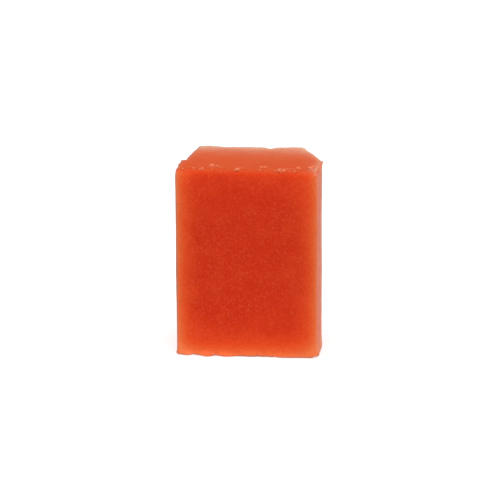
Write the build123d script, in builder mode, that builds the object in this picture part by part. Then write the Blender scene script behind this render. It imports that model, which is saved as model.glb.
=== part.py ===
from build123d import *

import os

# Car-detailing clay bar: one block of putty-like clay cut from an extruded length.
#
# The block stands on one wire-cut end, with its broad working face to the front. Its sides leave
# that face nearly square and then lean in to a narrower back, the left one after a small step.
# Crumbs that the cutter tore loose still cling to the upper cut end.
# Millimetres, +Z up, -Y to the front, origin at the middle of the base.

# The block, before its edges are rounded
BLOCK_WIDTH = 56.0  # X, across the two shoulders
BLOCK_DEPTH = 36.0  # Y, from the front face to the back face
BLOCK_HEIGHT = 76.0  # Z, between the two cut ends

# The left side runs square to the front, steps in over a short run, and then leans in to the back
LEFT_SHOULDER = 9.0
LEFT_STEP = 2.2
LEFT_STEP_RUN = 5.0
LEFT_LEAN = 2.8

# The right side flares a little as far as its shoulder, and then leans in to the back
RIGHT_FLARE = 0.6
RIGHT_SHOULDER = 16.0
RIGHT_LEAN = 9.2

# Rounded edges: the cut ones are the tightest, but for the upper front one, where the wire came out
FRONT_EDGE_RADIUS = 1.2
SHOULDER_RADIUS = 3.0
BACK_EDGE_RADIUS = 1.2
UPPER_FRONT_RADIUS = 2.4
CUT_EDGE_RADIUS = 0.9

# The crumbs on the upper cut end, as (x, distance behind the front face, radius, height, turn)
CRUMB_SIDES = 5
CRUMB_TAPER = 22  # degrees
CRUMBS = (
    (-24.4, 13.0, 0.8, 0.9, 12),
    (-17.3, 3.3, 0.7, 0.7, 40),
    (-14.1, 4.5, 1.0, 0.8, 5),
    (-12.3, 4.9, 0.6, 0.6, 63),
    (-3.7, 3.5, 0.9, 0.8, 27),
    (5.3, 5.1, 0.7, 0.6, 51),
    (6.9, 4.5, 0.6, 0.5, 18),
    (12.6, 3.7, 0.8, 0.7, 33),
    (14.4, 3.3, 0.6, 0.8, 8),
    (19.6, 4.6, 0.8, 0.6, 47),
    (25.0, 5.2, 1.0, 1.0, 30),
    (25.8, 15.0, 0.8, 0.9, 66),
    (10.6, 31.5, 0.7, 0.6, 21),
)

front_y = -BLOCK_DEPTH / 2
back_y = BLOCK_DEPTH / 2
left_x = -BLOCK_WIDTH / 2
right_x = BLOCK_WIDTH / 2


def clay_block():
    """The extruded section, cut to length, with every edge rounded."""
    with BuildPart() as block:
        with BuildSketch(Plane.XY):
            with BuildLine():
                Polyline(
                    (left_x, front_y),
                    (right_x - RIGHT_FLARE, front_y),
                    (right_x, front_y + RIGHT_SHOULDER),
                    (right_x - RIGHT_LEAN, back_y),
                    (left_x + LEFT_STEP + LEFT_LEAN, back_y),
                    (left_x + LEFT_STEP, front_y + LEFT_SHOULDER + LEFT_STEP_RUN),
                    (left_x, front_y + LEFT_SHOULDER),
                    close=True,
                )
            make_face()
        extrude(amount=BLOCK_HEIGHT)

        # The edges along the extrusion: the front pair, the three along the sides, the back pair
        upright_edges = block.edges().filter_by(Axis.Z).sort_by(Axis.Y)
        fillet(upright_edges[:2], FRONT_EDGE_RADIUS)
        fillet(upright_edges[2:-2], SHOULDER_RADIUS)
        fillet(upright_edges[-2:], BACK_EDGE_RADIUS)

        # The upper front edge first, and then all the other edges of both cut ends
        lower_end, upper_end = block.faces().filter_by(Axis.Z).sort_by(Axis.Z)
        fillet(upper_end.edges().sort_by(Axis.Y)[0], UPPER_FRONT_RADIUS)
        lower_end, upper_end = block.faces().filter_by(Axis.Z).sort_by(Axis.Z)
        other_edges = lower_end.edges() + upper_end.edges().sort_by(Axis.Y)[1:]
        fillet(other_edges, CUT_EDGE_RADIUS)
    block.part.label = "clay_block"
    return block.part


def cut_crumbs():
    """Torn crumbs, each a separate small solid with a flat foot on the upper cut end."""
    with BuildPart() as crumbs:
        for x, behind_front, radius, height, turn in CRUMBS:
            with BuildSketch(Plane.XY.offset(BLOCK_HEIGHT)):
                with Locations((x, front_y + behind_front)):
                    RegularPolygon(radius, CRUMB_SIDES, rotation=turn)
            extrude(amount=height, taper=CRUMB_TAPER)
    crumbs.part.label = "cut_crumbs"
    return crumbs.part


os.makedirs("parts", exist_ok=True)
for piece in (clay_block(), cut_crumbs()):
    export_step(piece, f"parts/{piece.label}.step")
    print(piece.label, len(piece.solids()), "solid(s)", round(piece.volume / 1000, 2), "cm3")
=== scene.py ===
import math
import random

import bmesh
import bpy
import numpy as np
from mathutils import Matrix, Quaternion, Vector, noise


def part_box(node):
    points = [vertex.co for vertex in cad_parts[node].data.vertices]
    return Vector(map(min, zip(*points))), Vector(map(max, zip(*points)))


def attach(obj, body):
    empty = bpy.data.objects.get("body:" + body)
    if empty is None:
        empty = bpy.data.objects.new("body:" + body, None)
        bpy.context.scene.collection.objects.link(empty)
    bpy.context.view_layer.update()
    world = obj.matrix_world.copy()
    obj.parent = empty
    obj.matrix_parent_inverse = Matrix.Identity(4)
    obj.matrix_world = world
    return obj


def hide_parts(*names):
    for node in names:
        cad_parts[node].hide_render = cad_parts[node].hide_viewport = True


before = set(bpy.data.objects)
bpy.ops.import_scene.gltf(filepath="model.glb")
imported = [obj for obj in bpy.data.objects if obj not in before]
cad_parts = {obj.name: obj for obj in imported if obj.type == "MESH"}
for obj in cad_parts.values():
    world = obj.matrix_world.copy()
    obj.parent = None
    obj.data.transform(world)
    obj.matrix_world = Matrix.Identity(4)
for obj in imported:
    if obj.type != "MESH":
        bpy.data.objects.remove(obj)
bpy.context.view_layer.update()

bl_info = {
    "name": "Clay bar",
    "version": (1, 0, 0),
    "blender": (4, 5, 0),
    "location": "View3D > Sidebar > Clay bar",
    "description": "Builds a wire-cut bar of car-detailing clay around its packed CAD model",
    "category": "Add Mesh",
}

MM = 0.001
BLOCK_LOW, BLOCK_HIGH = (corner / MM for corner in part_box("clay_block"))
FRONT, BACK = BLOCK_LOW.y, BLOCK_HIGH.y
LEFT, RIGHT = BLOCK_LOW.x, BLOCK_HIGH.x
FOOT, TOP = BLOCK_LOW.z, BLOCK_HIGH.z
BLOCK_NAME = "wire_cut_clay"
TOUCH = 0.01  # places closer than this, in mm, are the same
SHARP_EDGE = math.radians(50)

# How the block's surface is worked: sizes across and reaches in mm, and shares
SWELL_SIZE, DENT_SIZE, DENT_SHARE = 19, 5, 0.3
FLAT_FOOT = 1.5  # height over which the swells fade, because the foot was pressed flat
LIP_SETBACK = 3.0  # from the front face to the lip that the wire left
LIP_WANDER, LIP_BEND = 1.3, 7  # how far the lip strays, and the size of its bends
LIP_WIDTH, LIP_DEPTH = 0.8, 1.5
LIP_BREAK, LIP_COVER = 3.2, 0.35  # size of the gaps in it, and how far it fills them
TEAR_SIZE, NICK_SIZE, NICK_SHARE, TEAR_REACH = 3.4, 1.3, 0.6, 1.3
SKIRT_HEIGHT, SKIRT_WAVE, SKIRT_MEAN = 1.8, 5.5, 0.7

# How fast a face gives way to the next one round an edge
FACE_FALL, FACE_START = 1.6, 0.5

# Light through the clay, as (share, reach in mm), from the front, back, left, right, foot and top:
# into a broad upright face, into a narrow side, and into a cut end
BROAD_LIGHT = ((0, 1), (0, 1), (1.0, 2.8), (0.85, 2.8), (1.05, 3.7), (0.2, 3.7))
SIDE_LIGHT = ((0.75, 4.0), (0.8, 3.2), (0, 1), (0, 1), (1.05, 3.7), (0.2, 3.7))
END_LIGHT = ((0, 1), (0.25, 8.0), (0.25, 3.5), (0.25, 3.5), (0, 1), (0, 1))
SIDE_GLOW, END_GLOW = 0.12, 0.1  # what all of a narrow side and of a cut end gets besides
WARM_LIGHT = ((0, 1), (0, 1), (0, 1), (0, 1), (1.0, 12.0), (0.7, 10.0))  # the reddest of it

# Painted sheen on a cut end, in from the same faces, and a painted highlight on the lip
END_SHEEN = ((0, 1), (1.0, 5.7), (0.25, 1.2), (0.75, 1.5), (0, 1), (0, 1))
# Painted highlight along the torn lip, in the pale sheen colour
LIP_HIGHLIGHT = 0.16

# The ridge of the right shoulder: shares of light through it and of painted sheen on it, and how
# far both reach in mm
RIDGE_LIGHT, RIDGE_SHEEN, RIDGE_REACH = 0.6, 0.2, 8.0

# Painted shade: a grey darkening along the edges, as (share, reach in mm)
EDGE_SHADE = (0.7, 0.65)
EDGE_SHADE_SPREAD = 1.7  # how many times as far it reaches in on a cut end
EDGE_SHADE_PATCH = 4  # size of its patches, in mm

# Knocks and burrs, as (place, reach, push)
KNOCKS = (
    ((5.7, BACK, TOP), (1.7, 2.5, 2.0), (0, 0, -0.55)),  # dip in the upper back edge
    ((-19.0, BACK, TOP), (2.2, 2.0, 1.5), (0, 0, 0.2)),  # two rises in it
    ((16.5, BACK, TOP), (6.0, 5.0, 3.0), (0, 0, 0.4)),
    ((24.5, FRONT + 26, TOP), (4.0, 8.0, 3.0), (0.3, 0.1, 0.35)),  # upper edge of the right lean
    ((LEFT, FRONT + 5, TOP), (2.4, 5.0, 2.4), (0.45, 0, -0.5)),  # upper left corner, worn round
    ((-25.6, FRONT + 15, TOP), (1.1, 1.2, 1.5), (0.45, 0, -0.25)),  # dip behind the left step
    ((-26.8, FRONT + 12.3, TOP), (1.3, 1.2, 1.2), (-0.75, 0, 0.45)),  # burr on the left step
    ((RIGHT, FRONT + 16, TOP), (0.8, 0.9, 0.9), (0.6, 0, 0.25)),  # spike at the right shoulder
    ((RIGHT, FRONT + 10, FOOT), (2.0, 6.0, 3.0), (0.4, 0, 0)),  # foot, spread to the right
    ((RIGHT, FRONT + 4, FOOT), (2.0, 3.5, 3.0), (0.35, 0, 0)),
    ((-23.5, FRONT, FOOT), (2.4, 2.0, 1.4), (0, -1.2, 0)),  # and in tongues to the front
    ((-16.0, FRONT, FOOT), (2.8, 2.4, 1.5), (0, -1.8, 0)),
    ((-8.5, FRONT, FOOT), (3.4, 2.4, 1.5), (0, -1.4, 0)),
    ((0.0, FRONT, FOOT), (5.0, 2.0, 1.5), (0, -0.5, 0)),
    ((14.0, FRONT, FOOT), (4.0, 2.0, 1.5), (0, -0.4, 0)),
    ((-12.8, FRONT - 0.5, FOOT), (0.8, 1.5, 1.0), (0, 0.2, 0.15)),  # chips in them
    ((-21.5, FRONT, FOOT), (0.8, 1.2, 0.8), (0, 0.3, 0.3)),
    ((27.6, FRONT, FOOT), (1.6, 2.0, 1.8), (-0.3, 0.5, 0.75)),  # lower right corner, worn round
)

# Torn bits that stuck elsewhere than on the upper end, as (place, radius)
STUCK_BITS = (
    ((26.6, FRONT, TOP - 1.1), 0.55),
    ((27.6, FRONT + 3, TOP - 0.6), 0.45),
    ((27.9, FRONT + 8, TOP - 0.3), 0.5),
    ((-13.2, FRONT - 1.0, FOOT + 1.1), 0.6),
)

# How each crumb is set down
SQUEEZE = ((0.8, 1.6), (0.7, 1.2), (0.5, 0.9))  # least and most, across, in depth and in height
PROUD = 0.1  # how far its middle stands off the surface, as a share of its size
FULL_TURN = 6.28  # radians, near enough
ROUNDING_DEPTH, SLIDE = 4, 0.35  # in front of this depth it slid down, to this share of its depth
NEAR_DEPTH, FAR_SIZE = 8, 0.6  # behind this depth the wire left only finer ones, this much smaller
# The clump round each: how many smaller bits, how far off at most across and in depth, and how
# small, both as shares of its size
CLUMP_COUNTS, CLUMP_SPREADS, CLUMP_SIZES = (1, 2, 3), (1.6, 0.8), (0.3, 0.65)

# Sides of the plan that a speck may cling to, counted from the front left corner round by the
# back. Half the specks cling along the front, the last side.
SPECK_SIDES = (0, 2, 3, 4, 5, 6, 6, 6, 6, 6)
COARSE_SIDES, FINE_SPECK = (5, 6), 0.4  # specks on the other sides are this much smaller
SPECK_INSETS = (0.01, 0.09)  # least and most that one lies in from its side, as a share
SPECK_SIZES = (0.5, 1.5)  # least and most of their usual radius
ON_TOP = 0.8  # share of the specks that cling to the upper end
FOOT_HEIGHTS = (0.3, 2)  # least and most height, in mm, of the others

# The stage
AIM = Vector((-0.78, 0, 38.4)) * MM  # what the camera looks at
SENSOR_WIDTH = 36  # in mm, as on a full-frame camera
ROOM_LIGHT = 0.25  # strength of the white world
# Soft suns, as (name, strength, spread and tilt in degrees, whether glossy skin mirrors it)
SUNS = (
    ("overhead_softbox", 2.65, 60, (18, 2, 0), True),
    ("back_fill", 0.8, 90, (-55, 0, 0), False),
)


# Colours and sizes that a user would change

def linear(colour):
    """An sRGB hex colour as linear red, green and blue."""
    parts = (int(colour[i : i + 2], 16) / 255 for i in (1, 3, 5))
    return tuple(c / 12.92 if c <= 0.04045 else ((c + 0.055) / 1.055) ** 2.4 for c in parts)


def length(name, description, millimetres):
    """A length setting, given in millimetres and kept in metres."""
    return bpy.props.FloatProperty(
        name=name, description=description, default=millimetres * MM, unit="LENGTH", precision=5
    )


def angle(name, description, degrees):
    """An angle setting, given in degrees and kept in radians."""
    return bpy.props.FloatProperty(
        name=name, description=description, default=math.radians(degrees), subtype="ANGLE"
    )


def colour(name, description, hex_colour):
    """A colour setting, given as sRGB hex."""
    return bpy.props.FloatVectorProperty(
        name=name,
        description=description,
        default=linear(hex_colour),
        subtype="COLOR",
        min=0,
        max=1,
    )


class ClayBlockSettings(bpy.types.PropertyGroup):
    left_shoulder: length("Left shoulder", "How far the left side runs square to the front", 9.0)
    left_step: length("Left step", "How far the left side then steps in", 2.2)
    left_step_run: length("Left step run", "Depth over which the left side steps in", 5.0)
    left_lean: length("Left lean", "How far the left side leans in behind its step", 2.8)
    right_flare: length("Right flare", "How far the right side flares from the front", 0.6)
    right_shoulder: length("Right shoulder", "Depth at which the right side turns in", 16.0)
    right_lean: length("Right lean", "How far the right side leans in behind its shoulder", 8.8)
    upper_front_round: length("Upper front rounding", "Rounding where the wire came out", 2.4)
    edge_round: length("Edge rounding", "Rounding of all the other edges", 0.45)
    skin_mesh: length("Mesh size", "Side of the small faces that the surface is worked in", 0.45)
    skin_sag: length("Skin unevenness", "How far the handled faces stray from flat", 0.16)
    lip_height: length("Torn lip", "Height of the lip that the wire dragged up", 0.3)
    tear_depth: length("Tears", "How deep the cut edges are torn", 0.35)
    foot_spread: length("Foot spread", "How far the foot was pressed out", 0.35)
    core: colour("Core colour", "Clay too thick for light to pass", "#CC310F")
    shallow: colour("Shallow colour", "Clay that a little light passes through", "#D84218")
    bright: colour("Bright colour", "Clay that half the light passes through", "#DF4F20")
    edge: colour("Edge colour", "Clay that light passes through near an edge", "#E06432")
    rim: colour("Rim colour", "Thin clay right at an edge", "#E67C4E")
    # Painted sheen: the pale of a grazing reflection on the cut ends, ridge, lip and proud grains
    pale_sheen: colour("Bloom colour", "Dry pale skin on a torn or cut surface", "#D8AA8F")
    cut_face: colour("Cut face colour", "Clay that the wire laid open and roughened", "#C84916")
    # Painted shade: the dark inside of a pit
    shaded_pit: colour("Pit colour", "Inside of a pit", "#8E1F0C")
    # Painted shade: the grey that darkens the edges
    painted_edge_shade: colour("Dust colour", "Dust that clings along the edges", "#7A7673")
    # Painted sheen: a faint pale grazing reflection all over the cut ends
    end_sheen: bpy.props.FloatProperty(
        name="End skin",
        description="Share of pale dry skin all over the cut ends",
        default=0.02,
        min=0,
        max=1,
    )


class TornCrumbSettings(bpy.types.PropertyGroup):
    seed: bpy.props.IntProperty(
        name="Seed", description="Start of the random draws", default=7, min=0
    )
    extra: bpy.props.IntProperty(
        name="Extra crumbs",
        description="Specks along the cut edges, besides the CAD ones",
        default=44,
        min=0,
    )
    speck: length("Speck size", "Usual radius of an extra crumb", 0.26)
    crumb: colour("Crumb colour", "Torn clay that light passes right through", "#F08660")


class StudioSettings(bpy.types.PropertyGroup):
    azimuth: angle("Azimuth", "Turn of the camera to the right of the front", 6.4)
    elevation: angle("Elevation", "Camera above the horizon", 16.7)
    roll: angle("Roll", "Tilt of the camera about its own line of sight", -0.25)
    distance: length("Distance", "From the camera to the point it looks at", 1152)
    lens: bpy.props.FloatProperty(
        name="Lens", description="Focal length", default=209.7, unit="CAMERA"
    )
    floor_side: length("Floor side", "Side of the square floor", 4000)
    floor: colour("Floor colour", "Matt white card", "#C8C8C8")


# Small tools

def deselect_all():
    """Nothing stays selected or active, so an operator acts only on what comes next."""
    if bpy.context.object and bpy.context.object.mode != "OBJECT":
        bpy.ops.object.mode_set(mode="OBJECT")
    bpy.ops.object.select_all(action="DESELECT")


def select_where(kind, wanted):
    """In edit mode, selects only the "verts" or "edges" that a test accepts."""
    bpy.ops.mesh.select_all(action="DESELECT")
    mesh = bmesh.from_edit_mesh(bpy.context.object.data)
    for part in getattr(mesh, kind):
        part.select_set(wanted(part))
    bmesh.update_edit_mesh(bpy.context.object.data)


def apply_modifier(piece, kind, **settings):
    """Adds a modifier with its settings and applies it."""
    modifier = piece.modifiers.new(kind.title(), kind)
    for name, value in settings.items():
        setattr(modifier, name, value)
    bpy.ops.object.modifier_apply(modifier=modifier.name)


def points_of(piece):
    """The piece's vertices in millimetres."""
    points = np.empty(len(piece.data.vertices) * 3)
    piece.data.vertices.foreach_get("co", points)
    return points.reshape(-1, 3) / MM


def normals_of(piece):
    """The way out of the surface at each of the piece's vertices."""
    normals = np.empty(len(piece.data.vertices) * 3)
    piece.data.vertices.foreach_get("normal", normals)
    return normals.reshape(-1, 3)


def move_points(piece, points):
    """Moves the piece's vertices to places in millimetres."""
    piece.data.vertices.foreach_set("co", (points * MM).ravel())
    piece.data.update()


def write_values(piece, name, values):
    """Keeps one number per vertex for the material to read."""
    attribute = piece.data.attributes.new(name, "FLOAT", "POINT")
    attribute.data.foreach_set("value", np.clip(values, 0, 1).astype(np.float32))


def lumps(points, size, seed, stretch=(1, 1, 1)):
    """Smooth noise from about -1 to 1, with features about size millimetres across."""
    shift = np.array((17.3, 5.1, 9.7)) * seed
    scaled = points / (size * np.array(stretch)) + shift
    return np.array([noise.noise(Vector(p)) for p in scaled])


def near(distance, reach):
    """1 at a distance of 0, falling smoothly to nearly 0 by twice the reach."""
    return np.exp(-((distance / reach) ** 2))


def squarely(facing):
    """1 where a surface faces a way squarely, falling to 0 as it turns to another face."""
    return np.clip(FACE_FALL * facing - FACE_START, 0, 1)


def finished(piece, slot, *nodes):
    """Rides on the only body and stands for CAD nodes. The slot is not used."""
    deselect_all()
    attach(piece, "root")
    if nodes:
        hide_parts(*nodes)


def add(tree, kind, sockets=None, stops=None, **settings):
    """Adds a node with its settings, its socket values or links, and a ramp's stops.

    A socket is given by its name, or by its number where names repeat. A Mix node's 0 is the
    share, and the two things it mixes are 2 and 3 for numbers, 4 and 5 for vectors, and 6 and 7
    for colours."""
    node = tree.nodes.new("ShaderNode" + kind)
    for name, value in settings.items():
        setattr(node, name, value)
    for socket, value in (sockets or {}).items():
        if isinstance(value, bpy.types.NodeSocket):
            tree.links.new(value, node.inputs[socket])
        else:
            node.inputs[socket].default_value = value
    for i, (place, shade) in enumerate(stops or ()):
        elements = node.color_ramp.elements
        stop = elements[i] if i < 2 else elements.new(place)
        stop.position = place
        stop.color = (*shade[:3], 1)
    return node


def new_material(name):
    """An empty node material, with its tree and its Principled shader."""
    material = bpy.data.materials.new(name)
    material.use_nodes = True
    return material, material.node_tree, material.node_tree.nodes["Principled BSDF"]


# The block's plan, in millimetres

def side_outlines(sizes):
    """Each side's (y, x) corners, from front to back."""
    step = sizes.left_step / MM
    left_turn = FRONT + sizes.left_shoulder / MM
    left = (
        (FRONT, LEFT),
        (left_turn, LEFT),
        (left_turn + sizes.left_step_run / MM, LEFT + step),
        (BACK, LEFT + step + sizes.left_lean / MM),
    )
    right = (
        (FRONT, RIGHT - sizes.right_flare / MM),
        (FRONT + sizes.right_shoulder / MM, RIGHT),
        (BACK, RIGHT - sizes.right_lean / MM),
    )
    return left, right


def to_line(points, corners):
    """Distance in plan from each point to a line through (y, x) corners."""
    nearest = np.full(len(points), np.inf)
    for (y0, x0), (y1, x1) in zip(corners, corners[1:]):
        start, run = np.array((x0, y0)), np.array((x1 - x0, y1 - y0))
        along = np.clip((points[:, :2] - start) @ run / (run @ run), 0, 1)
        gap = points[:, :2] - start - along[:, None] * run
        nearest = np.minimum(nearest, np.hypot(*gap.T))
    return nearest


def face_distances(points, sizes):
    """Distance from each point to the front, back, left, right, foot and top of the block."""
    left, right = side_outlines(sizes)
    return np.array(
        (
            to_line(points, (left[0], right[0])),
            to_line(points, (left[-1], right[-1])),
            to_line(points, left),
            to_line(points, right),
            np.abs(points[:, 2] - FOOT),
            np.abs(TOP - points[:, 2]),
        )
    )


# The clay block

def roughed_out_block(sizes):
    """A box, cut across at each turn of its sides and pulled in to the plan, with rounded edges."""
    centre = (BLOCK_LOW + BLOCK_HIGH) / 2 * MM
    deselect_all()
    bpy.ops.mesh.primitive_cube_add(size=1, location=centre, scale=(BLOCK_HIGH - BLOCK_LOW) * MM)
    block = bpy.context.object
    block.name = block.data.name = BLOCK_NAME
    bpy.ops.object.transform_apply(location=True, rotation=True, scale=True)

    left, right = side_outlines(sizes)
    turns = sorted({y for y, x in left + right})
    bpy.ops.object.mode_set(mode="EDIT")
    for y in turns[1:-1]:
        bpy.ops.mesh.select_all(action="SELECT")
        bpy.ops.mesh.bisect(plane_co=(0, y * MM, 0), plane_no=(0, 1, 0))
    for corners, edge_x in ((left, LEFT), (right, RIGHT)):
        rows, places = zip(*corners)
        for y in turns:
            pull = np.interp(y, rows, places) - edge_x
            select_where("verts", lambda v: (v.co.xy / MM - Vector((edge_x, y))).length < TOUCH)
            bpy.ops.transform.translate(value=(pull * MM, 0, 0))

    select_where(
        "edges",
        lambda e: all(v.co.y / MM < FRONT + TOUCH and v.co.z / MM > TOP - TOUCH for v in e.verts),
    )
    bpy.ops.mesh.bevel(offset=sizes.upper_front_round, segments=8, affect="EDGES")
    select_where("edges", lambda e: e.calc_face_angle(0) > SHARP_EDGE)
    bpy.ops.mesh.bevel(offset=sizes.edge_round, segments=4, affect="EDGES")
    bpy.ops.object.mode_set(mode="OBJECT")
    return block


def worked_surface(block, sizes):
    """Handled faces, a lip that the wire dragged up, torn cut edges and a spread foot."""
    apply_modifier(block, "REMESH", mode="VOXEL", voxel_size=sizes.skin_mesh)
    apply_modifier(block, "SMOOTH", factor=0.5, iterations=3)

    points, outward = points_of(block), normals_of(block)
    front, back, left, right, foot, top = face_distances(points, sizes)
    outline = np.minimum.reduce((front, back, left, right))
    upper_edge = np.hypot(outline, top)
    lower_edge = np.hypot(outline, foot)

    # Soft clay never stays flat: wide shallow swells, and small dents from fingers and wrapping
    unevenness = lumps(points, SWELL_SIZE, 1) + DENT_SHARE * lumps(points, DENT_SIZE, 2)
    swell = sizes.skin_sag / MM * unevenness * (1 - near(foot, FLAT_FOOT))
    points += outward * swell[:, None]

    # The wire dragged a thin ragged lip up, which wanders along the top of the front's rounding
    wander = LIP_WANDER * lumps(points * (1, 0, 0), LIP_BEND, 7)
    torn = np.clip(LIP_COVER + 2 * lumps(points, LIP_BREAK, 3), 0, 1)
    lip = near(front - LIP_SETBACK - wander, LIP_WIDTH) * near(top, LIP_DEPTH) * torn
    points[:, 2] += sizes.lip_height / MM * lip

    # Tears: bites out of both cut edges, deeper where two kinds of noise meet
    bite = np.clip(lumps(points, TEAR_SIZE, 4) + NICK_SHARE * lumps(points, NICK_SIZE, 5), 0, 1)
    bite *= sizes.tear_depth / MM * near(np.minimum(upper_edge, lower_edge), TEAR_REACH)
    points -= outward * bite[:, None]

    # The foot spread where it was pressed down, in a wavy skirt
    spread = sizes.foot_spread / MM * (SKIRT_MEAN + lumps(points, SKIRT_WAVE, 6))
    points[:, :2] += outward[:, :2] * (near(foot, SKIRT_HEIGHT) * spread)[:, None]

    for place, reach, push in KNOCKS:
        gap = np.linalg.norm((points - place) / reach, axis=1)
        points += near(gap, 1)[:, None] * push

    points[:, 2] = np.maximum(points[:, 2], FOOT)
    move_points(block, points)
    return lip


def light_through(block, sizes, lip):
    """Writes how much light reaches each point through the clay, which kind of face it is on,
    how much painted sheen and highlight it gets and how much painted shade darkens it."""
    points, outward = points_of(block), normals_of(block)
    distances = np.maximum(face_distances(points, sizes), 0)

    def summed(terms):
        """The light or the skin that all six faces give together."""
        share, reach = np.array(terms).T[:, :, None]
        return (share * np.exp(-distances / reach)).sum(axis=0)

    away = np.where(points[:, 2] > (FOOT + TOP) / 2, outward[:, 2], -outward[:, 2])
    cut_end = squarely(away)
    narrow = squarely(np.abs(outward[:, 0]))
    right_side = side_outlines(sizes)[1]
    ridge_y, ridge_x = right_side[1]
    from_ridge = np.hypot(points[:, 1] - ridge_y, points[:, 0] - ridge_x)
    on_ridge = near(from_ridge, RIDGE_REACH) * (1 - cut_end)

    side = SIDE_GLOW + summed(SIDE_LIGHT) + RIDGE_LIGHT * on_ridge
    upright = summed(BROAD_LIGHT) * (1 - narrow) + side * narrow
    end = END_GLOW + summed(END_LIGHT)
    write_values(block, "edge_light", upright * (1 - cut_end) + end * cut_end)
    # Painted sheen on the cut ends and the right ridge, and a painted highlight on the lip
    sheen = (sizes.end_sheen + summed(END_SHEEN)) * cut_end
    sheen += RIDGE_SHEEN * narrow * on_ridge + LIP_HIGHLIGHT * lip
    write_values(block, "pale_skin", sheen)
    write_values(block, "cut_end", cut_end)
    write_values(block, "narrow_side", narrow * (1 - cut_end))
    write_values(block, "warm_light", summed(WARM_LIGHT))

    # Painted shade: a grey darkening along the edges, farther in on the rougher cut end. None lies
    # along the upper front, where the wire came out, or along the front and the top of the right
    # side
    front, back, left, right, foot, top = distances
    edge = np.minimum.reduce(
        (
            np.hypot(front, left),
            np.hypot(back, left),
            np.hypot(back, right),
            np.hypot(np.minimum(back, left), top) / EDGE_SHADE_SPREAD,
            np.hypot(np.minimum.reduce((front, back, left, right)), foot),
        )
    )
    share, reach = EDGE_SHADE
    patchy = 0.8 + 0.4 * lumps(points, EDGE_SHADE_PATCH, 11)
    write_values(block, "edge_film", share * near(edge, reach) * patchy)


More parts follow.
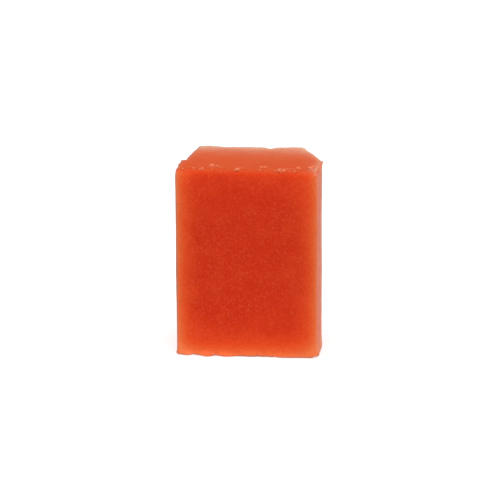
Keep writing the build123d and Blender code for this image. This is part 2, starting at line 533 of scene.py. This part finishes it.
def clay_material(settings):
    """Polymer clay, extruded and wire-cut: saturated in the thick, glowing orange where light gets
    through near an edge, with fine abrasive grains and a satin, slightly tacky skin."""
    material, tree, shader = new_material("polymer_clay_extruded_and_wire_cut")
    place = add(tree, "TexCoord").outputs["Object"]
    edge_light, pale_skin, cut_end, narrow_side, warm_light, edge_film = (
        add(tree, "Attribute", attribute_name=name).outputs["Fac"]
        for name in (
            "edge_light", "pale_skin", "cut_end", "narrow_side", "warm_light", "edge_film"
        )
    )

    # Kneaded pigment is uneven over about 8 mm, which makes the clay a little deeper or shallower
    mottle = add(tree, "TexNoise", {"Vector": place, "Scale": 1 / (8 * MM), "Detail": 3})
    uneven = add(
        tree,
        "MapRange",
        {
            "Value": mottle.outputs["Fac"],
            "From Min": 0.3, "From Max": 0.7,
            "To Min": -0.05, "To Max": 0.05,
        },
    )
    depth = add(tree, "Math", {0: edge_light, 1: uneven.outputs[0]}, operation="ADD")
    clay = add(
        tree,
        "ValToRGB",
        {"Fac": depth.outputs[0]},
        stops=(
            (0.0, settings.core),
            (1.0, settings.rim),
            (0.16, settings.shallow),
            (0.32, settings.bright),
            (0.58, settings.edge),
        ),
    )

    # Of the light that comes in through the cut ends, red gets the farthest
    warmth = add(
        tree, "Mix", {0: warm_light, 4: (1, 1, 1), 5: (1.2, 1.07, 0.92)}, data_type="VECTOR"
    )
    warmed = add(
        tree, "VectorMath", {0: clay.outputs["Color"], 1: warmth.outputs[1]}, operation="MULTIPLY"
    )

    # The wire left the ends rougher, which makes their colour lighter and more orange
    laid_open = add(tree, "Math", {0: cut_end, 1: 0.9}, operation="MULTIPLY")
    faced = add(
        tree,
        "Mix",
        {0: laid_open.outputs[0], 6: warmed.outputs[0], 7: (*settings.cut_face, 1)},
        data_type="RGBA",
    )

    # Painted sheen, a pale grazing reflection, on them, the ridge and lip, in patches of about 6 mm
    pale_sheen = add(tree, "TexNoise", {"Vector": place, "Scale": 1 / (6 * MM), "Detail": 5})
    patchy = add(
        tree,
        "MapRange",
        {
            "Value": pale_sheen.outputs["Fac"],
            "From Min": 0.3, "From Max": 0.7,
            "To Min": 0.85, "To Max": 1.15,
        },
    )
    sheen = add(tree, "Math", {0: pale_skin, 1: patchy.outputs[0]}, operation="MULTIPLY")
    skin = add(
        tree,
        "Mix",
        {0: sheen.outputs[0], 6: faced.outputs[2], 7: (*settings.pale_sheen, 1)},
        data_type="RGBA",
    )

    # Drag lines: faint ones that the die drew along the bar, and streaks that the wire drew across
    # its ends
    along = add(tree, "Mapping", {"Vector": place, "Scale": (1, 1, 0.03)})
    across = add(tree, "Mapping", {"Vector": place, "Scale": (0.08, 1, 1)})
    lines, streaks = (
        add(tree, "TexNoise", {"Vector": way.outputs[0], "Scale": 1 / (1.4 * MM), "Detail": 3})
        for way in (along, across)
    )
    drawn = add(
        tree,
        "Mix",
        {0: cut_end, 2: lines.outputs["Fac"], 3: streaks.outputs["Fac"]},
        data_type="FLOAT",
    )
    drag_depth = add(tree, "Math", {0: cut_end, 1: 0.07, 2: 0.01}, operation="MULTIPLY_ADD")
    drag_line = add(
        tree, "MapRange", {"Value": drawn.outputs[0], "From Min": 0.3, "From Max": 0.7}
    )
    drag_shade = add(
        tree,
        "Math",
        {0: drag_line.outputs[0], 1: drag_depth.outputs[0], 2: 0.985},
        operation="MULTIPLY_ADD",
    )

    # The abrasive is a fine powder, too fine to show, so its grains are drawn as coarse as clusters
    # about 0.8 mm apart, with painted shade darkening the hollows between them
    grain = add(tree, "TexNoise", {"Vector": place, "Scale": 1 / (0.8 * MM), "Detail": 2})
    darkness = add(
        tree,
        "MapRange",
        {
            "Value": grain.outputs["Fac"],
            "From Min": 0.30, "From Max": 0.55,
            "To Min": 0.94, "To Max": 1.01,
        },
    )
    shading = add(
        tree, "Math", {0: darkness.outputs[0], 1: drag_shade.outputs[0]}, operation="MULTIPLY"
    )
    grained = add(
        tree, "VectorMath", {0: skin.outputs[2], "Scale": shading.outputs[0]}, operation="SCALE"
    )

    # Where a grain stands proud, its top is a little paler: a painted highlight in the pale sheen
    # colour
    proud = add(
        tree,
        "MapRange",
        {
            "Value": grain.outputs["Fac"],
            "From Min": 0.5, "From Max": 0.75,
            "To Min": 0.0, "To Max": 0.05,
        },
    )
    grained = add(
        tree,
        "Mix",
        {0: proud.outputs[0], 6: grained.outputs[0], 7: (*settings.pale_sheen, 1)},
        data_type="RGBA",
    )

    # Every few millimetres a larger grain shows as a lighter speck, and a few have dropped out and
    # left a pit, darkened inside with painted shade
    specks = add(tree, "TexVoronoi", {"Vector": place, "Scale": 1 / (2.6 * MM)})
    speck = add(
        tree,
        "MapRange",
        {
            "Value": specks.outputs["Distance"],
            "From Min": 0.05, "From Max": 0.18,
            "To Min": 0.2, "To Max": 0.0,
        },
    )
    dropped = add(
        tree, "MapRange", {"Value": specks.outputs["Color"], "From Min": 0.68, "From Max": 0.7}
    )
    hollow = add(
        tree,
        "MapRange",
        {
            "Value": specks.outputs["Distance"],
            "From Min": 0.06, "From Max": 0.2,
            "To Min": 1.0, "To Max": 0.0,
        },
    )
    shaded_pit = add(tree, "Math", {0: hollow.outputs[0], 1: dropped.outputs[0]}, operation="MULTIPLY")
    specked = add(
        tree,
        "Mix",
        {0: speck.outputs[0], 6: grained.outputs[2], 7: (*settings.rim, 1)},
        data_type="RGBA",
    )
    pit_shade = add(tree, "Math", {0: shaded_pit.outputs[0], 1: 0.25}, operation="MULTIPLY")
    pitted = add(
        tree,
        "Mix",
        {0: pit_shade.outputs[0], 6: specked.outputs[2], 7: (*settings.shaded_pit, 1)},
        data_type="RGBA",
    )

    # Painted shade: grey darkening along the edges
    surface = add(
        tree,
        "Mix",
        {0: edge_film, 6: pitted.outputs[2], 7: (*settings.painted_edge_shade, 1)},
        data_type="RGBA",
    )
    tree.links.new(surface.outputs[2], shader.inputs["Base Color"])

    # Satin skin, duller where it was cut and a little shinier on the sides that the die pressed
    polish = add(tree, "TexNoise", {"Vector": place, "Scale": 1 / (3.5 * MM), "Detail": 4})
    gloss = add(
        tree,
        "MapRange",
        {
            "Value": polish.outputs["Fac"],
            "From Min": 0.3, "From Max": 0.7,
            "To Min": 0.42, "To Max": 0.56,
        },
    )
    duller = add(tree, "Math", {0: cut_end, 1: 0.1, 2: gloss.outputs[0]}, operation="MULTIPLY_ADD")
    roughness = add(
        tree, "Math", {0: narrow_side, 1: -0.04, 2: duller.outputs[0]}, operation="MULTIPLY_ADD"
    )
    tree.links.new(roughness.outputs[0], shader.inputs["Roughness"])

    # Relief: the drag lines, the pits, and grains that stand about 0.05 mm proud
    drag = add(
        tree, "Bump", {"Height": drawn.outputs[0], "Strength": 0.5, "Distance": 0.14 * MM}
    )
    pits = add(
        tree,
        "Bump",
        {
            "Height": shaded_pit.outputs[0],
            "Strength": 0.7,
            "Distance": 0.2 * MM,
            "Normal": drag.outputs[0],
        },
        invert=True,
    )
    bump = add(
        tree,
        "Bump",
        {
            "Height": grain.outputs["Fac"],
            "Strength": 0.6,
            "Distance": 0.12 * MM,
            "Normal": pits.outputs[0],
        },
    )
    tree.links.new(bump.outputs[0], shader.inputs["Normal"])

    # The rubbery binder refracts as most soft polymers do, but so much powder in it leaves almost
    # no gleam, and red light spreads farthest below the skin
    shader.inputs["IOR"].default_value = 1.48
    shader.inputs["Specular IOR Level"].default_value = 0.07
    shader.inputs["Subsurface Weight"].default_value = 0.3
    shader.inputs["Subsurface Radius"].default_value = (1.0, 0.28, 0.10)
    shader.inputs["Subsurface Scale"].default_value = 2.5 * MM
    return material


class MESH_OT_clay_block(bpy.types.Operator):
    """Adds the block of clay: roughed out, worked, and coloured by how light gets through it"""

    bl_idname = "mesh.clay_bar_block"
    bl_label = "Clay block"
    bl_options = {"REGISTER", "UNDO"}

    def execute(self, context):
        settings = context.scene.clay_block_settings
        block = roughed_out_block(settings)
        light_through(block, settings, worked_surface(block, settings))
        bpy.ops.object.shade_smooth()
        block.data.materials.append(clay_material(settings))
        finished(block, "clay", "clay_block")
        return {"FINISHED"}


# Torn crumbs

def crumb_material(settings):
    """Torn clay: so thin that light passes right through, with a rough skin that dried."""
    material, tree, shader = new_material("polymer_clay_torn_crumb")
    place = add(tree, "TexCoord").outputs["Object"]
    tint = add(tree, "TexNoise", {"Vector": place, "Scale": 1 / (1.2 * MM), "Detail": 3})
    redder = (0.97, 0.8, 0.75)  # what is left of each colour where the crumb is thicker
    deep = tuple(c * kept for c, kept in zip(settings.crumb, redder))
    shade = add(
        tree, "ValToRGB", {"Fac": tint.outputs["Fac"]}, stops=((0.35, deep), (0.65, settings.crumb))
    )
    tree.links.new(shade.outputs["Color"], shader.inputs["Base Color"])
    rough = add(
        tree, "MapRange", {"Value": tint.outputs["Fac"], "To Min": 0.55, "To Max": 0.8}
    )
    tree.links.new(rough.outputs[0], shader.inputs["Roughness"])
    bump = add(
        tree, "Bump", {"Height": tint.outputs["Fac"], "Strength": 0.3, "Distance": 0.06 * MM}
    )
    tree.links.new(bump.outputs[0], shader.inputs["Normal"])
    shader.inputs["Specular IOR Level"].default_value = 0.2
    shader.inputs["Subsurface Weight"].default_value = 0.3
    shader.inputs["Subsurface Radius"].default_value = (1.0, 0.4, 0.2)
    shader.inputs["Subsurface Scale"].default_value = 0.8 * MM
    return material


def cad_crumbs():
    """The centre and half-size, in millimetres, of each crumb in the CAD node."""
    mesh = bmesh.new()
    mesh.from_mesh(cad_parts["cut_crumbs"].data)
    bmesh.ops.remove_doubles(mesh, verts=mesh.verts, dist=0.001 * MM)
    left = set(mesh.verts)
    found = []
    while left:
        island, queue = set(), [left.pop()]
        while queue:
            corner = queue.pop()
            island.add(corner)
            for edge in corner.link_edges:
                other = edge.other_vert(corner)
                if other in left:
                    left.discard(other)
                    queue.append(other)
        places = np.array([v.co for v in island]) / MM
        found.append(((places.min(0) + places.max(0)) / 2, (places.max(0) - places.min(0)) / 2))
    mesh.free()
    return sorted(found, key=lambda crumb: tuple(crumb[0]))


def torn_bit(name, seed, detail):
    """One ragged bit of clay about 1 mm in radius, to be copied and squeezed."""
    deselect_all()
    bpy.ops.mesh.primitive_ico_sphere_add(subdivisions=detail, radius=1 * MM)
    bit = bpy.context.object
    bit.name = name
    points, outward = points_of(bit), normals_of(bit)
    ragged = 0.55 * lumps(points, 0.8, seed) + 0.2 * lumps(points, 0.35, seed + 1)
    points += outward * ragged[:, None]
    move_points(bit, points)
    return bit


def set_down(bit, centre, half, turn, name):
    """A copy of a bit, with its own mesh, squeezed to a size and put in its place."""
    copy = bit.copy()
    copy.data = bit.data.copy()
    copy.name = name
    bpy.context.collection.objects.link(copy)
    cos, sin = math.cos(turn), math.sin(turn)
    points = points_of(copy) * half @ np.array(((cos, sin, 0), (-sin, cos, 0), (0, 0, 1)))
    points += centre
    points[:, 2] = np.maximum(points[:, 2], FOOT)
    move_points(copy, points)
    return copy


def stuck_on(block, place):
    """The point of the block's surface nearest to a place, and the way out of it there."""
    _, point, outward, _ = block.closest_point_on_mesh(Vector(place) * MM)
    return np.array(point) / MM, np.array(outward)


class MESH_OT_torn_crumbs(bpy.types.Operator):
    """Adds the torn crumbs: a clump on each CAD crumb, and finer specks along the cut edges"""

    bl_idname = "mesh.clay_bar_crumbs"
    bl_label = "Torn crumbs"
    bl_options = {"REGISTER", "UNDO"}

    def execute(self, context):
        settings = context.scene.torn_crumb_settings
        block = bpy.data.objects[BLOCK_NAME]
        draw = random.Random(settings.seed)
        bits = [torn_bit(f"torn_bit_{i}", 20 + 3 * i, detail=3) for i in range(4)]
        fine_bits = [torn_bit(f"torn_speck_{i}", 50 + 3 * i, detail=2) for i in range(3)]
        copies = []

        def stick(place, size, name, kinds=bits):
            """Sinks a bit into the nearest surface, turned at random and squeezed flatter."""
            point, outward = stuck_on(block, place)
            squeeze = np.array([draw.uniform(low, high) for low, high in SQUEEZE])
            centre = point + outward * PROUD * size
            kind, turn = draw.choice(kinds), draw.uniform(0, FULL_TURN)
            copies.append(set_down(kind, centre, size * squeeze, turn, name))

        for centre, half in cad_crumbs():
            x, y = centre[:2]
            size = half[:2].mean()
            if y - FRONT < ROUNDING_DEPTH:
                y = FRONT + SLIDE * (y - FRONT)
            if y - FRONT > NEAR_DEPTH:
                size *= FAR_SIZE
            stick((x, y, TOP), size, "crumb")
            for _ in range(draw.choice(CLUMP_COUNTS)):
                aside = [draw.uniform(-spread, spread) * size for spread in CLUMP_SPREADS]
                beside = (x + aside[0], y + aside[1], TOP)
                stick(beside, size * draw.uniform(*CLUMP_SIZES), "crumb")
        for place, radius in STUCK_BITS:
            stick(place, radius, "bit")
            beside = place + np.array([draw.uniform(-1, 1) for _ in range(3)])
            stick(beside, radius / 2, "bit")

        left, right = side_outlines(context.scene.clay_block_settings)
        outline = [(x, y) for y, x in left] + [(x, y) for y, x in reversed(right)]
        for _ in range(settings.extra):
            side = draw.choice(SPECK_SIDES)
            (x0, y0), (x1, y1) = outline[side], outline[(side + 1) % len(outline)]
            share, inset = draw.random(), draw.uniform(*SPECK_INSETS)
            x, y = ((x0 + (x1 - x0) * share) * (1 - inset), (y0 + (y1 - y0) * share) * (1 - inset))
            z = TOP if draw.random() < ON_TOP else FOOT + draw.uniform(*FOOT_HEIGHTS)
            size = settings.speck / MM * draw.uniform(*SPECK_SIZES)
            if side not in COARSE_SIDES:
                size *= FINE_SPECK
            stick((x, y, z), size, "speck", fine_bits)

        for bit in bits + fine_bits:
            bpy.data.objects.remove(bit)
        deselect_all()
        for copy in copies:
            copy.select_set(True)
        context.view_layer.objects.active = copies[0]
        bpy.ops.object.join()
        crumbs = context.object
        crumbs.name = crumbs.data.name = "torn_crumbs"
        bpy.ops.object.shade_smooth()
        crumbs.data.materials.append(crumb_material(settings))
        finished(crumbs, "clay_crumb", "cut_crumbs")
        return {"FINISHED"}


# The stage

def floor_material(settings):
    """Matt white card: even and pale, with no shine of its own."""
    material, tree, shader = new_material("white_card_matt")
    place = add(tree, "TexCoord").outputs["Object"]
    pulp = add(tree, "TexNoise", {"Vector": place, "Scale": 1 / (40 * MM), "Detail": 2})
    thick = tuple(c * 0.985 for c in settings.floor)  # a shade darker where the pulp is thicker
    shade = add(
        tree,
        "Mix",
        {0: pulp.outputs["Fac"], 6: (*settings.floor, 1), 7: (*thick, 1)},
        data_type="RGBA",
    )
    tree.links.new(shade.outputs[2], shader.inputs["Base Color"])
    shader.inputs["Roughness"].default_value = 0.9
    shader.inputs["Specular IOR Level"].default_value = 0.1
    shader.inputs["Emission Color"].default_value = (1, 1, 1, 1)
    shader.inputs["Emission Strength"].default_value = 0.5
    return material


class SCENE_OT_clay_studio(bpy.types.Operator):
    """Adds the white floor, the soft lights and the camera"""

    bl_idname = "scene.clay_bar_studio"
    bl_label = "Studio"
    bl_options = {"REGISTER", "UNDO"}

    def execute(self, context):
        settings = context.scene.studio_settings
        deselect_all()
        bpy.ops.mesh.primitive_plane_add(size=settings.floor_side)
        floor = context.object
        floor.name = "white_floor"
        floor.data.materials.append(floor_material(settings))

        for name, strength, spread, tilt, shines in SUNS:
            sun = bpy.data.lights.new(name, "SUN")
            sun.energy, sun.angle = strength, math.radians(spread)
            lamp = bpy.data.objects.new(name, sun)
            lamp.rotation_euler = [math.radians(angle) for angle in tilt]
            lamp.visible_glossy = shines
            context.collection.objects.link(lamp)

        world = bpy.data.worlds.new("white_room")
        world.use_nodes = True
        background = world.node_tree.nodes["Background"]
        background.inputs["Color"].default_value = (1, 1, 1, 1)
        background.inputs["Strength"].default_value = ROOM_LIGHT
        context.scene.world = world
        context.scene.view_settings.view_transform = "Standard"

        turn, rise = settings.azimuth, settings.elevation
        level = math.cos(rise)
        back = Vector((math.sin(turn) * level, -math.cos(turn) * level, math.sin(rise)))
        facing_clay = (-back).to_track_quat("-Z", "Y")
        camera = bpy.data.objects.new("camera", bpy.data.cameras.new("camera"))
        camera.location = AIM + back * settings.distance
        camera.rotation_mode = "QUATERNION"
        camera.rotation_quaternion = Quaternion(back, settings.roll) @ facing_clay
        camera.data.lens = settings.lens
        camera.data.sensor_width = SENSOR_WIDTH
        context.collection.objects.link(camera)
        context.scene.camera = camera
        return {"FINISHED"}


class VIEW3D_PT_clay_bar(bpy.types.Panel):
    """The clay bar's pieces and settings"""

    bl_label = "Clay bar"
    bl_idname = "VIEW3D_PT_clay_bar"
    bl_space_type = "VIEW_3D"
    bl_region_type = "UI"
    bl_category = "Clay bar"

    def draw(self, context):
        for operator, group, name in PARTS:
            box = self.layout.box()
            box.operator(operator.bl_idname)
            for setting in group.__annotations__:
                box.prop(getattr(context.scene, name), setting)


# Each operator, with its settings and their name in the scene
PARTS = (
    (MESH_OT_clay_block, ClayBlockSettings, "clay_block_settings"),
    (MESH_OT_torn_crumbs, TornCrumbSettings, "torn_crumb_settings"),
    (SCENE_OT_clay_studio, StudioSettings, "studio_settings"),
)
CLASSES = (
    *(group for operator, group, name in PARTS),
    *(operator for operator, group, name in PARTS),
    VIEW3D_PT_clay_bar,
)


def register():
    for cls in CLASSES:
        bpy.utils.register_class(cls)
    for operator, group, name in PARTS:
        setattr(bpy.types.Scene, name, bpy.props.PointerProperty(type=group))


def unregister():
    for operator, group, name in PARTS:
        delattr(bpy.types.Scene, name)
    for cls in reversed(CLASSES):
        bpy.utils.unregister_class(cls)


def main():
    register()
    bpy.ops.mesh.clay_bar_block()
    bpy.ops.mesh.clay_bar_crumbs()
    bpy.ops.scene.clay_bar_studio()


if __name__ == "__main__":
    main()
